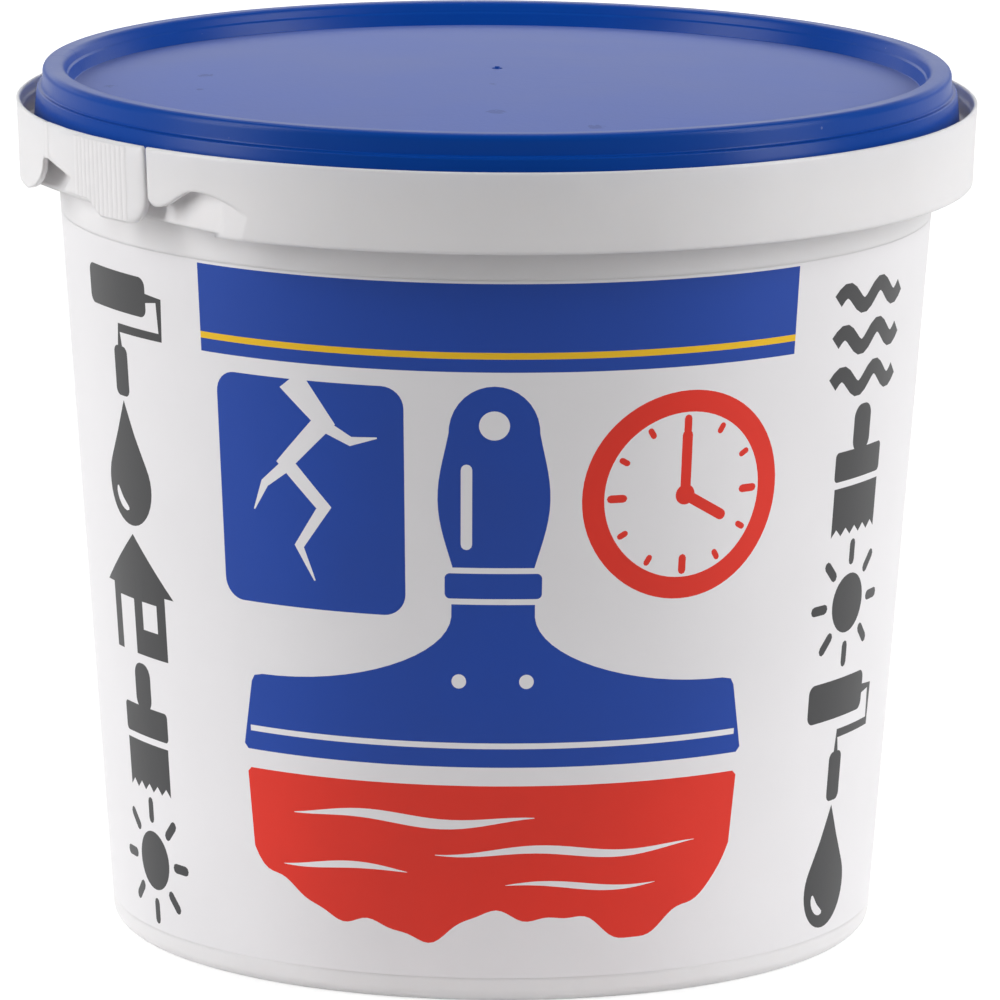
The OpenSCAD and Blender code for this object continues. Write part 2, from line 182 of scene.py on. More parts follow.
def buildFloor():
    half = studio["floorSize"] / 2
    corners = [(-half, -half, 0), (half, -half, 0), (half, half, 0), (-half, half, 0)]
    mesh = bpy.data.meshes.new("paleFloor")
    mesh.from_pydata(corners, [], [(0, 1, 2, 3)])
    finish = bpy.data.materials.new("paleFloor")
    finish.use_nodes = True
    tree = finish.node_tree
    tree.nodes.clear()
    camera, gloss = rayKinds(tree)
    place = addNode(tree, "ShaderNodeTexCoord").outputs["Object"]
    away = addNode(tree, "ShaderNodeVectorMath", {"operation": "LENGTH"}, in0=place)
    away = away.outputs["Value"]
    whiter = remap(tree, away, *studio["whiteFade"], 0, 1 - studio["floorGlow"])
    glowLevel = calc(tree, "MULTIPLY_ADD", whiter, camera, studio["floorGlow"])
    glow = addNode(tree, "ShaderNodeEmission", Strength=glowLevel)
    lit = addNode(tree, "ShaderNodeBsdfDiffuse", Color=(studio["floorShade"],) * 3 + (1,))
    shown = addNode(tree, "ShaderNodeAddShader", in0=lit.outputs[0], in1=glow.outputs[0])
    bounceShade = remap(tree, away, *studio["bounceFade"], *studio["bounce"])
    bounce = addNode(tree, "ShaderNodeBsdfDiffuse", Color=bounceShade)
    surface = addNode(tree, "ShaderNodeMixShader", in0=calc(tree, "MAXIMUM", camera, gloss),
                      in1=bounce.outputs[0], in2=shown.outputs[0])
    addNode(tree, "ShaderNodeOutputMaterial", Surface=surface.outputs[0])
    mesh.materials.append(finish)
    floor = bpy.data.objects.new("paleFloor", mesh)
    scene.collection.objects.link(floor)


for lampName, lampSizes in lampRig.items():
    addLamp(lampName, lampSizes)
buildWorld()
buildFloor()
print("studio lit")


# finishes: moulded polypropylene, printed film, paste
moulded = {"rough": (0.3, 0.42), "mottle": 0.03, "grain": 0.05, "shine": 0.4}
printed = {"rough": (0.3, 0.38), "mottle": 0.05, "grain": 0.03, "shine": 0.25}
finishes = {
    "tubWhite": {**moulded, "colour": (0.812, 0.796, 0.802),
                 "through": 0.4, "depth": 0.0014, "edge": 0.0008},
    # painted light: the tub's own white with no light let through, painted a little lighter so no
    # shade line shows where the neck patch meets the collar; the ribs and neck use it
    "tabWhite": {**moulded, "colour": (0.825, 0.809, 0.815)},
    "lidBlue": {"colour": (0.002, 0.056, 0.335), "rough": (0.28, 0.36), "mottle": 0.06,
                "grain": 0.08, "shine": 0.14, "spots": 0.3, "speck": (0.3, 0.36, 0.5),
                "speckScale": 620, "speckSize": 0.12},
    # painted sheen: the panel's paler blue stands in for the haze of light across it; its greater
    # roughness is real
    "panelBlue": {"colour": (0.086, 0.141, 0.455), "rough": (0.55, 0.62), "mottle": 0.05,
                  "grain": 0.2, "shine": 0.6, "spots": 0.45, "speck": (0.01, 0.04, 0.22),
                  "speckScale": 150, "speckSize": 0.2},
    "filmWhite": {**printed, "colour": (0.81, 0.795, 0.81), "mottle": 0.02, "shine": 0.35},
    "inkBlue": {**printed, "colour": (0.010, 0.056, 0.35)},
    "inkRed": {**printed, "colour": (0.74, 0.033, 0.018)},
    "inkGrey": {**printed, "colour": (0.045, 0.045, 0.047), "mottle": 0.06},
    "inkYellow": {**printed, "colour": (0.86, 0.52, 0.02), "mottle": 0.04},
    "pasteWhite": {"colour": (0.82, 0.805, 0.77), "rough": (0.7, 0.9), "mottle": 0.05,
                   "grain": 0.5, "shine": 0.4},
}
wear = {
    "mottleScale": 34, "mottleDetail": 3.0, "mottleBand": (0.3, 0.7),
    "grainScale": 1500, "grainDetail": 2.0, "grainDepth": 0.00012,
    "speckBand": (0.8, 1.0), "speckEdge": 2.0,
    "scuffScale": 260 / 6, "scuffDetail": 5.0, "scuffTurn": (0, 0, 0.7), "scuffStretch": (1, 26, 1),
    "scuffBand": (0.62, 0.72), "scuffRough": 0.04, "scuffDepth": -0.25,
    "edgeSamples": 8, "throughTint": (1.0, 0.95, 0.9),
}


def addNoise(tree, place, kind):
    return addNode(tree, "ShaderNodeTexNoise", Vector=place, Scale=wear[kind + "Scale"],
                   Detail=wear[kind + "Detail"]).outputs[0]


def speckMask(tree, place, fine, look):  # dust in a few cells of a cell pattern
    cells = addNode(tree, "ShaderNodeTexVoronoi", Vector=place, Scale=look["speckScale"]).outputs
    chosen = addNode(tree, "ShaderNodeSeparateColor", Color=cells["Color"]).outputs[0]
    size = remap(tree, chosen, *wear["speckBand"], 0.0, look["speckSize"])
    ragged = calc(tree, "MULTIPLY", size, calc(tree, "MULTIPLY", fine, wear["speckEdge"]))
    return calc(tree, "LESS_THAN", cells["Distance"], ragged)


def scuffMask(tree, place):  # hair scuffs from handling, all drawn out one way
    turned = addNode(tree, "ShaderNodeMapping", Vector=place, Rotation=wear["scuffTurn"],
                     Scale=wear["scuffStretch"]).outputs[0]
    return remap(tree, addNoise(tree, turned, "scuff"), *wear["scuffBand"], 0, 1)


def makeFinish(name):
    look = finishes[name]
    finish = bpy.data.materials.new(name)
    finish.use_nodes = True
    tree = finish.node_tree
    shader = tree.nodes["Principled BSDF"].inputs
    place = addNode(tree, "ShaderNodeTexCoord").outputs["Object"]
    broad, fine = addNoise(tree, place, "mottle"), addNoise(tree, place, "grain")
    darker, lighter = (shade(look["colour"], 1 + way * look["mottle"]) for way in (-1, 1))
    colour = mixColours(tree, remap(tree, broad, *wear["mottleBand"], 0, 1), darker, lighter)
    rough = remap(tree, broad, *wear["mottleBand"], *look["rough"])
    height = fine
    if "spots" in look:
        speck = calc(tree, "MULTIPLY", speckMask(tree, place, fine, look), look["spots"])
        colour = mixColours(tree, speck, colour, look["speck"] + (1,))
        scuffed = scuffMask(tree, place)
        rough = calc(tree, "MULTIPLY_ADD", scuffed, wear["scuffRough"], rough)
        height = calc(tree, "MULTIPLY_ADD", scuffed, wear["scuffDepth"], fine)
    bump = addNode(tree, "ShaderNodeBump", Height=height, Strength=look["grain"],
                   Distance=wear["grainDepth"])
    tree.links.new(colour, shader["Base Color"])
    tree.links.new(rough, shader["Roughness"])
    tree.links.new(bump.outputs[0], shader["Normal"])
    shader["Specular IOR Level"].default_value = look["shine"]
    if "edge" in look:  # moulded edges are a little round
        soft = addNode(tree, "ShaderNodeBevel", {"samples": wear["edgeSamples"]},
                       Radius=look["edge"])
        tree.links.new(soft.outputs[0], bump.inputs["Normal"])
    if "depth" in look:  # thin white polypropylene lets some light through
        shader["Subsurface Weight"].default_value = look["through"]
        shader["Subsurface Scale"].default_value = look["depth"]
        shader["Subsurface Radius"].default_value = wear["throughTint"]
    return finish


materials = {name: makeFinish(name) for name in finishes}
print("finishes made")


# shared mesh helpers
def makePiece(name, points, faces, looks, faceLooks=None, sharpAngle=35):
    mesh = bpy.data.meshes.new(name)
    mesh.from_pydata([Vector(p) * mm for p in points], [], faces)
    for look in looks:
        mesh.materials.append(materials[look])
    if faceLooks:
        mesh.polygons.foreach_set("material_index", faceLooks)
    mesh.shade_smooth()
    mesh.set_sharp_from_angle(angle=math.radians(sharpAngle))
    mesh.update()
    piece = bpy.data.objects.new(name, mesh)
    scene.collection.objects.link(piece)
    return piece


def turnedAround(angle, radius, height):
    return (radius * math.sin(angle), -radius * math.cos(angle), height)


def rounded(corners, steps=5, longestCut=0.48):  # each corner has a radius, a height and a fillet
    line = []
    for i, (r, z, fillet) in enumerate(corners):
        here = Vector((r, z))
        if not fillet or i in (0, len(corners) - 1):
            line.append((r, z))
            continue
        before, after = Vector(corners[i - 1][:2]) - here, Vector(corners[i + 1][:2]) - here
        half = before.angle(after) / 2
        cut = min(fillet / math.tan(half), longestCut * before.length, longestCut * after.length)
        start, end = here + before.normalized() * cut, here + after.normalized() * cut
        for k in range(steps + 1):  # a quadratic arc through the corner's tangents
            t = k / steps
            line.append(tuple(start * (1 - t) ** 2 + here * 2 * t * (1 - t) + end * t ** 2))
    return line


def lathe(name, line, looks, segments=192, lift=None, sharpAngle=35):
    points, rings, faces = [], [], []
    for r, z in line:
        count = 1 if r < tiny else segments
        rings.append(range(len(points), len(points) + count))
        for k in range(count):
            angle = 2 * math.pi * k / segments
            extra = lift(r, angle, z) if lift else 0
            points.append(turnedAround(angle, r, z + extra))
    for low, high in zip(rings, rings[1:]):
        for k in range(segments):
            n = k + 1
            quad = [low[k % len(low)], low[n % len(low)], high[n % len(high)], high[k % len(high)]]
            face = list(dict.fromkeys(quad))
            if len(face) > 2:
                faces.append(face)
    return makePiece(name, points, faces, looks, sharpAngle=sharpAngle)


def sheetFaces(front, count):  # a thin sheet's front, back and rim, with count points a side
    back = [[i + count for i in face][::-1] for face in front]
    sides = dict.fromkeys(side for face in front for side in zip(face, face[1:] + face[:1]))
    rim = [[b, a, a + count, b + count] for a, b in sides if (b, a) not in sides]
    return front + back + rim


# flat outlines, as lists of points across and up
def curved(x, z, rx, rz, start, end, steps=8):
    turns = [math.radians(start + (end - start) * k / steps) for k in range(steps + 1)]
    return [(x + rx * math.cos(t), z + rz * math.sin(t)) for t in turns]


def eased(a, b, steps=10):
    line = []
    for k in range(steps + 1):
        t = k / steps
        rise = (1 - math.cos(math.pi * k / steps)) / 2
        line.append((a[0] + (b[0] - a[0]) * t, a[1] + (b[1] - a[1]) * rise))
    return line


def ccw(loop):
    area = sum(a[0] * b[1] - b[0] * a[1] for a, b in zip(loop, loop[1:] + loop[:1]))
    return loop if area > 0 else loop[::-1]


def inside(p, loop):
    hit = False
    for (x1, z1), (x2, z2) in zip(loop, loop[1:] + loop[:1]):
        if (z1 > p[1]) != (z2 > p[1]) and p[0] < x1 + (p[1] - z1) * (x2 - x1) / (z2 - z1):
            hit = not hit
    return hit


def insetLoop(loop, distance, sharpest=0.35):  # a sharp corner moves no further than its limit
    inset = []
    for i, here in enumerate(loop):
        a, b, c = Vector(loop[i - 1]), Vector(here), Vector(loop[(i + 1) % len(loop)])
        n1, n2 = (b - a).normalized().orthogonal(), (c - b).normalized().orthogonal()
        inward = (n1 + n2) / max(sharpest, 1 + n1.dot(n2))
        inset.append(tuple(b + inward * distance))
    return inset


def triangulated(loop, gridStep, margin=0.35, mergeWithin=1e-5):  # a grid of points fills the loop
    xs, zs = [p[0] for p in loop], [p[1] for p in loop]
    inner = insetLoop(loop, gridStep * margin)
    spots = [Vector(p) for p in loop]
    x = min(xs)
    while x < max(xs):
        z = min(zs)
        while z < max(zs):
            if inside((x, z), inner):
                spots.append(Vector((x, z)))
            z += gridStep
        x += gridStep
    found = delaunay_2d_cdt(spots, [], [list(range(len(loop)))], 1, mergeWithin)
    return found[0], found[2]


# tub: the solid's own shape in moulded white
tubShape = {
    "baseR": 52.9, "mouthR": 61.75, "height": 119.4, "wall": 1.0, "floorTop": 2.4,
    "floorRound": 2.5, "collarTop": 115.9, "collarFoot": 104.85, "collarR": 66.5,
    "collarTaper": 0.5, "collarT": 0.8,
}
collarFall = tubShape["collarTaper"] / (tubShape["collarTop"] - tubShape["collarFoot"])


def wallRadius(z):
    spread = tubShape["mouthR"] - tubShape["baseR"]
    return tubShape["baseR"] + spread * z / tubShape["height"]


def collarRadius(z):
    return tubShape["collarR"] - collarFall * (tubShape["collarTop"] - z)


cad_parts["tub"].material_slots[0].material = materials["tubWhite"]
print("tub finished")


# lid: domed panel in a recess, rounded rim, step and flared skirt, turned as one shell
lidShape = {
    "top": 120.4, "ceiling": 119.5, "panelTop": 117.2, "panelUnder": 116.2, "plugFoot": 113.6,
    "sideFoot": 117.4, "skirtFoot": 112.8, "sideR": 62.87, "sideInR": 61.97, "skirtTopR": 63.62,
    "skirtR": 64.07, "wall": 0.9, "plugWall": 0.8, "plugGap": 0.2, "snapR": 62.04,
    "snapZ": 114.725, "snapLen": 1.55, "recessStep": 0.25, "lean": 1.0, "rise": 2.6,
    "domeSteps": 24, "gateR": 0.8, "gateFootR": 0.56, "gateDeep": 0.3, "nubR": 0.4,
    "nubTopR": 0.32, "nubH": 0.3,
}


def plugRadius(s, z):
    return wallRadius(z) - tubShape["wall"] - s["plugGap"]


def skirtInRadius(s, z):
    flare = (s["skirtR"] - s["skirtTopR"]) / (s["sideFoot"] - s["skirtFoot"])
    return s["skirtTopR"] + flare * (s["sideFoot"] - z) - s["wall"]


def recessRadius(s):
    return plugRadius(s, s["ceiling"]) - s["plugWall"] - s["lean"]


def panelHeight(s, share, edge="panelTop"):  # domed up from its edge to its middle
    return s[edge] + s["rise"] * (1 - share ** 2)


def panelDome(s, radius, edge):  # from the middle out to the last step before the edge
    shares = [k / s["domeSteps"] for k in range(s["domeSteps"])]
    return [(radius * share, panelHeight(s, share, edge), 0) for share in shares]


def lidLine(s):
    underR = plugRadius(s, s["panelUnder"]) - s["plugWall"]
    plugFootR = plugRadius(s, s["plugFoot"])
    seatZ = s["sideFoot"] - s["wall"] / 2
    skirtTopZ = seatZ - s["wall"] / 2
    snapHigh, snapLow = s["snapZ"] + s["snapLen"] / 2, s["snapZ"] - s["snapLen"] / 2
    rimInR = plugRadius(s, s["ceiling"]) - s["plugWall"] + s["recessStep"]
    midR = rimInR - s["lean"] / 2
    stepZ = (s["panelTop"] + s["top"]) / 2
    recessR = recessRadius(s)
    gateZ = panelHeight(s, 0)
    underside = panelDome(s, underR, "panelUnder")
    plug = [
        (underR, s["panelUnder"], 0.3),
        (plugFootR - s["plugWall"], s["plugFoot"], 0.2),
        (plugFootR, s["plugFoot"], 0.3),
        (plugRadius(s, s["ceiling"]), s["ceiling"], 0.15),
    ]
    skirtInside = [
        (s["sideInR"], s["ceiling"], 0.15),
        (s["sideInR"], seatZ, 0.2),
        (skirtInRadius(s, skirtTopZ), skirtTopZ, 0.2),
        (skirtInRadius(s, snapHigh), snapHigh, 0.2),
        (s["snapR"], s["snapZ"], 0.25),
        (skirtInRadius(s, snapLow), snapLow, 0.2),
        (s["skirtR"] - s["wall"], s["skirtFoot"], 0.15),
    ]
    outside = [
        (s["skirtR"], s["skirtFoot"], 0.28),
        (s["skirtTopR"], s["sideFoot"], 0.36),
        (s["sideR"], s["sideFoot"], 0.36),
        (s["sideR"], s["top"], 1.0),
    ]
    recess = [
        (rimInR, s["top"], 1.0),
        (midR, stepZ + s["recessStep"], 0.15),
        (midR - s["recessStep"], stepZ, 0.15),
        (recessR, s["panelTop"], 0.12),
    ]
    panel = panelDome(s, recessR, "panelTop")[:0:-1]
    gate = [
        (s["gateR"], gateZ, 0.12),
        (s["gateFootR"], gateZ - s["gateDeep"], 0.1),
        (s["nubR"], gateZ - s["gateDeep"], 0.05),
        (s["nubTopR"], gateZ + s["nubH"], 0.12),
        (0, gateZ + s["nubH"], 0),
    ]
    return rounded(underside + plug + skirtInside + outside + recess + panel + gate)


def markPanel(piece, s, upright=0.9, within=0.1):  # the panel's faces get the second finish
    for face in piece.data.polygons:
        reach = Vector(face.center[:2]).length / mm
        level = panelHeight(s, reach / recessRadius(s))
        onPanel = abs(face.center.z / mm - level) < within
        if face.normal.z > upright and s["gateR"] < reach and onPanel:
            face.material_index = 1


lidPiece = lathe("lidShell", lidLine(lidShape), ["lidBlue", "panelBlue"])
markPanel(lidPiece, lidShape)  # the panel is moulded with a finer matt, and its paler colour is painted sheen
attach(lidPiece, "lid")
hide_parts("lid")
print("lid turned:", len(lidPiece.data.polygons), "faces")


# tear tab: a curved plate in the collar, its grip ribs and the neck that it bends at
tabShape = {
    "turn": -56, "right": 12.5, "left": 12.6, "round": 4, "deepW": 9.5, "stepW": 4, "stepH": 2,
    "flagW": 19.7, "legH": 2.3, "lean": 2, "foot": 105.0, "neckFoot": 110.8, "edgeT": 0.55,
    "edgeH": 1.6, "soft": 0.14, "cornerCut": 0.5, "topStep": 6, "grid": 1.3,
}
ribShape = {
    "count": 12, "pitch": 1.04, "last": 8.2, "width": 1.3, "height": 0.2, "sink": 0.14,
    "top": 115.4, "rise": 0.3, "steps": 41, "sides": 14, "endSlope": 22.0, "endStart": 0.04,
}
neckShape = {
    "from": -13.45, "to": -12.2, "low": 110.95, "high": 115.86, "proud": 0.03, "dive": 1.8,
    "deep": 0.35, "bendFrom": -13.05, "bendTo": -12.6, "bendDepth": 0.4,
}


def tabOutline(s):
    right, left, foot, top = s["right"], -s["left"], s["foot"], tubShape["collarTop"]
    shelf, flag, nick = foot + s["stepH"], right - s["flagW"], s["stepH"] / 4
    line = [(right, top - s["cornerCut"]), (right - s["cornerCut"], top)]
    line += [(right - s["topStep"] * k, top) for k in range(1, 4)]
    line += [(left, top), (left, (top + s["neckFoot"]) / 2), (left, s["neckFoot"])]
    line += [(flag + s["lean"], shelf + s["legH"]), (flag, shelf + nick), (flag + nick, shelf)]
    line += eased((right - s["deepW"] - s["stepW"], shelf), (right - s["deepW"], foot))
    line += curved(right - s["round"], foot + s["round"], s["round"], s["round"], -90, 0)
    return line


def collarPoint(x, z, depth):  # x runs along the collar from the tab's middle
    turn = math.radians(tabShape["turn"])
    across, along = math.cos(turn), math.sin(turn)
    r = collarRadius(z) - depth
    y = -math.sqrt(r * r - x * x)
    return (x * across - y * along, x * along + y * across, z)


def tabPoint(x, z, share):
    thinEdge = tubShape["collarTop"] - z <= tabShape["edgeH"]
    return collarPoint(x, z, share * (tabShape["edgeT"] if thinEdge else tubShape["collarT"]))


def buildTab(s):
    outline = ccw(tabOutline(s))
    share = s["soft"] / tubShape["collarT"]
    flat, front = triangulated(insetLoop(outline, s["soft"]), s["grid"])
    points = [tabPoint(*p, depth) for depth in (0, 1) for p in flat]
    points += [tabPoint(*p, depth) for depth in (share, 1 - share) for p in outline]
    size, count = len(flat), len(outline)
    faces = [list(f) for f in front] + [[i + size for i in f][::-1] for f in front]
    outer, inner = 2 * size, 2 * size + count  # the rim's two loops, with soft edges to each side
    for k in range(count):
        n = (k + 1) % count
        faces += [[k, outer + k, outer + n, n],
                  [outer + k, inner + k, inner + n, outer + n],
                  [inner + k, size + k, size + n, inner + n]]
    return makePiece("tearTabPlate", points, faces, ["tubWhite"], sharpAngle=60)


def buildNeck(n, columns=14, rows=8):
    points, front = [], []
    chamfer = tubShape["collarTop"] - tabShape["edgeT"] / 4
    for outside in (True, False):
        for j in range(rows + 1):
            z = n["low"] + (n["high"] - n["low"]) * (1 - (1 - j / rows) ** 2)
            for i in range(columns + 1):
                edge = abs(2 * i / columns - 1) ** 4  # dives under the collar at both ends
                skin = max(0, z - chamfer) + (n["dive"] * edge - 1) * n["proud"]
                x = n["from"] + (n["to"] - n["from"]) * i / columns
                points.append(collarPoint(x, z, skin if outside else n["deep"]))
    wide = columns + 1
    for j in range(rows):
        for a in range(j * wide, j * wide + columns):
            front.append([a, a + 1, a + wide + 1, a + wide])
    faces = sheetFaces(front, wide * (rows + 1))
    return makePiece("tearTabNeck", points, faces, ["tabWhite"])


def ribValues(rib, tab):
    first = rib["last"] - (rib["count"] - 1) * rib["pitch"]
    stepEnd = tab["right"] - tab["deepW"]
    deepFoot = tab["foot"] + rib["rise"]
    lengths = {
        "Pitch": rib["pitch"], "First": first, "Width": rib["width"], "Height": rib["height"],
        "Sink": rib["sink"], "Top": rib["top"], "Deep Foot": deepFoot,
        "Shelf Foot": tab["foot"] + tab["stepH"] + rib["rise"],
        "Step Start": stepEnd - tab["stepW"], "Step End": stepEnd,
        "Collar Radius": tubShape["collarR"], "Collar Top": tubShape["collarTop"],
    }
    values = {name: length * mm for name, length in lengths.items()}
    values.update({"Count": rib["count"], "Collar Fall": collarFall,
                   "Turn": math.radians(tab["turn"])})
    return values


def ribBead(tree):  # one rib: a bead of unit size, drawn in at both ends
    line = addNode(tree, "GeometryNodeCurvePrimitiveLine", End=(0, 0, 1))
    line = addNode(tree, "GeometryNodeResampleCurve", Curve=line.outputs[0],
                   Count=ribShape["steps"])
    along = addNode(tree, "GeometryNodeSplineParameter").outputs["Factor"]
    near = calc(tree, "MINIMUM", along, calc(tree, "SUBTRACT", 1.0, along))
    swell = calc(tree, "MULTIPLY_ADD", near, ribShape["endSlope"], ribShape["endStart"])
    swell = calc(tree, "POWER", calc(tree, "MINIMUM", swell, 1.0), 0.5)
    line = addNode(tree, "GeometryNodeSetCurveRadius", Curve=line.outputs[0], Radius=swell)
    section = addNode(tree, "GeometryNodeCurvePrimitiveCircle", Resolution=ribShape["sides"],
                      Radius=1.0)
    return addNode(tree, "GeometryNodeCurveToMesh", in0=line.outputs[0], in1=section.outputs[0],
                   **{"Fill Caps": True}).outputs[0]


def ribPlace(tree, given):  # lays a rib on the collar's cone, from the tab's lower edge up
    position = addNode(tree, "GeometryNodeInputPosition").outputs[0]
    x, y, t = addNode(tree, "ShaderNodeSeparateXYZ", Vector=position).outputs
    foot = remap(tree, x, given["Step Start"], given["Step End"],
                 given["Shelf Foot"], given["Deep Foot"], "SMOOTHSTEP")
    z = calc(tree, "MULTIPLY_ADD", t, calc(tree, "SUBTRACT", given["Top"], foot), foot)
    below = calc(tree, "SUBTRACT", given["Collar Top"], z)
    r = calc(tree, "SUBTRACT", given["Collar Radius"],
             calc(tree, "MULTIPLY", given["Collar Fall"], below))
    squares = calc(tree, "MULTIPLY", r, r), calc(tree, "MULTIPLY", x, x)
    out = calc(tree, "SQRT", calc(tree, "SUBTRACT", *squares))
    sunk = calc(tree, "ADD", y, given["Sink"])  # so that only its soft back shows
    return combine(tree, X=x, Y=calc(tree, "SUBTRACT", sunk, out), Z=z)


def buildRibTree(names):
    tree = bpy.data.node_groups.new("gripRibs", "GeometryNodeTree")
    for name in names:
        kind = "NodeSocketInt" if name == "Count" else "NodeSocketFloat"
        tree.interface.new_socket(name, in_out="INPUT", socket_type=kind)
    tree.interface.new_socket("Geometry", in_out="OUTPUT", socket_type="NodeSocketGeometry")
    given = tree.nodes.new("NodeGroupInput").outputs
    row = addNode(tree, "GeometryNodeMeshLine", Count=given["Count"],
                  **{"Start Location": combine(tree, X=given["First"]),
                     "Offset": combine(tree, X=given["Pitch"])})
    half = calc(tree, "DIVIDE", given["Width"], 2.0)
    beads = addNode(tree, "GeometryNodeInstanceOnPoints", Points=row.outputs[0],
                    Instance=ribBead(tree), Scale=combine(tree, X=half, Y=given["Height"], Z=1.0))
    beads = addNode(tree, "GeometryNodeRealizeInstances", Geometry=beads.outputs[0])
    beads = addNode(tree, "GeometryNodeSetPosition", Geometry=beads.outputs[0],
                    Position=ribPlace(tree, given))
    beads = addNode(tree, "GeometryNodeTransform", Geometry=beads.outputs[0],
                    Rotation=combine(tree, Z=given["Turn"]))
    beads = addNode(tree, "GeometryNodeSetShadeSmooth", Geometry=beads.outputs[0])
    result = tree.nodes.new("NodeGroupOutput")
    tree.links.new(beads.outputs[0], result.inputs[0])
    return tree


def growFromTree(name, tree, values, finish):
    holder = bpy.data.objects.new(name, bpy.data.meshes.new(name))
    scene.collection.objects.link(holder)
    modifier = holder.modifiers.new("shape", "NODES")
    modifier.node_group = tree
    for item in tree.interface.items_tree:
        if item.in_out == "INPUT":
            modifier[item.identifier] = values[item.name]
    bpy.context.view_layer.update()
    seen = holder.evaluated_get(bpy.context.evaluated_depsgraph_get())
    mesh = bpy.data.meshes.new_from_object(seen)
    holder.modifiers.remove(modifier)
    holder.data = mesh
    mesh.materials.clear()
    mesh.materials.append(finish)
    return holder


tabPlate = buildTab(tabShape)
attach(tabPlate, "tear_tab")
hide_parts("tear_tab")
ribNumbers = ribValues(ribShape, tabShape)
ribs = growFromTree("tearTabRibs", buildRibTree(ribNumbers), ribNumbers, materials["tabWhite"])
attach(ribs, "tear_tab")
neck = buildNeck(neckShape)
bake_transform(neck)
print("tear tab made:", len(tabPlate.data.polygons), "+", len(ribs.data.polygons), "faces")


# label: one printed film, its inks cut into the film's own mesh
labelShape = {
    "low": 3.51, "high": 100.39, "film": 0.15, "flatR": 57.0, "seam": 1.5, "turnStep": 2.0,
    "rowStep": 9.0,
}
inks = ["filmWhite", "inkBlue", "inkRed", "inkGrey", "inkYellow"]
stripe = {"from": -41.4, "to": 42.4, "low": 87.9, "high": 100.0, "lineLow": 89.7, "lineHigh": 90.6}
knife = {
    "edgeZ": 33.2, "edgeHalf": 37, "edgeCut": (0.6, 0.7), "bevel": 2.6, "bevelIn": 1.18,
    "bevelLine": 0.8, "shoulderZ": 44, "shoulderHalf": 34.4,
    "shoulderCut": ((0.9, -1.2), (0.4, -0.3)), "cove": (-92, -178), "rivetX": 4.6,
    "rivetRise": 1.2, "rivetR": 1.0, "neckZ": 54.5, "neckHalf": 5.6, "neckTop": 1.4,
    "ferruleHalf": 6.5, "ferruleLow": 56.7, "ferruleHigh": 60.2, "ferruleR": 0.7,
    "gripLow": 61, "gripHigh": 86, "gripHalf": 7, "gripEnd": 6.5, "gripWaist": 0.84,
    "gripBulge": 0.17, "bulgeTurns": 1.3, "bulgeStart": -0.12, "gripFlare": 0.1,
    "holeZ": 80.6, "holeR": 2.0, "gleamX": -3.6, "gleamLow": 64.2, "gleamHigh": 74.5,
    "gleamHalf": 0.75,
}
# waves have a height, a turn per millimetre and a start,
# and streaks have two ends, a height and half a width
smear = {
    "top": 30.6, "half": 36, "low": 11, "cut": 0.6, "rise": 9, "riseCurve": 10, "steps": 96,
    "waves": ((1.7, 0.19, 0.7), (1.0, 0.43, 2.2), (0.3, 0.97, 0.4)),
    "streaks": ((-29, 6, 25.6, 0.75), (-8, 30, 21.2, 0.6), (-31, -12, 18.2, 0.5),
                (2, 24, 16.4, 0.45)),
    "streakSteps": 24, "streakTip": 0.02, "sway": 0.5, "swayTurn": 0.25,
}
# ticks have a length and half a width
clock = {
    "x": 26, "z": 70.2, "r": 14.4, "ring": 3.0, "ticks": 12, "tickGap": 0.9,
    "longTick": (1.7, 0.55), "shortTick": (0.8, 0.42), "minute": 8.2, "hour": 6.4,
    "hourTurn": 2.1, "handHalf": 0.75, "hubR": 1.4,
}
# points of a crack lie from the middle of the tile's upper edge, each with half a width
crackTile = {
    "x0": -39, "x1": -11.8, "z0": 54, "z1": 85.6, "r": 3,
    "cracks": (
        ((-2.0, 0.01, 2.0), (2.6, -5.6, 1.7), (-3.0, -11.6, 1.45), (2.4, -17.4, 1.1),
         (-1.4, -23.0, 0.7), (0.8, -27.6, 0.12)),
        ((2.3, -5.8, 0.9), (6.4, -7.9, 0.65), (10, -7.2, 0.1)),
        ((-2.7, -11.8, 0.85), (-6.4, -14.8, 0.6), (-8.2, -18.6, 0.1)),
    ),
}


def tile(x0, z0, x1, z1, r=0.0):
    if not r:
        return [(x0, z0), (x1, z0), (x1, z1), (x0, z1)]
    return (curved(x1 - r, z0 + r, r, r, -90, 0) + curved(x1 - r, z1 - r, r, r, 0, 90)
            + curved(x0 + r, z1 - r, r, r, 90, 180) + curved(x0 + r, z0 + r, r, r, 180, 270))


def disc(x, z, r, steps=48):
    return curved(x, z, r, r, 0, 360 - 360 / steps, steps - 1)


def bar(a, b, half, steps=6):
    a, b = Vector(a), Vector(b)
    turn = math.degrees(math.atan2(b.y - a.y, b.x - a.x))
    return (curved(b.x, b.y, half, half, turn - 90, turn + 90, steps)
            + curved(a.x, a.y, half, half, turn + 90, turn + 270, steps))


def ribbon(line, halves):
    left, right = [], []
    for i, (p, half) in enumerate(zip(line, halves)):
        ahead = Vector(line[min(i + 1, len(line) - 1)]) - Vector(line[max(i - 1, 0)])
        side = Vector((-ahead.y, ahead.x)).normalized() * half
        left.append(tuple(Vector(p) + side))
        right.append(tuple(Vector(p) - side))
    return left + right[::-1]


def mirrored(halfLine):
    return halfLine + [(-x, z) for x, z in reversed(halfLine) if x > tiny]


def moved(loop, x, z, size=1.0):
    return [(x + px * size, z + pz * size) for px, pz in loop]


def stripePrint(s):
    return [("inkBlue", tile(s["from"], s["low"], s["to"], s["high"])),
            ("inkYellow", tile(s["from"], s["lineLow"], s["to"], s["lineHigh"]))]


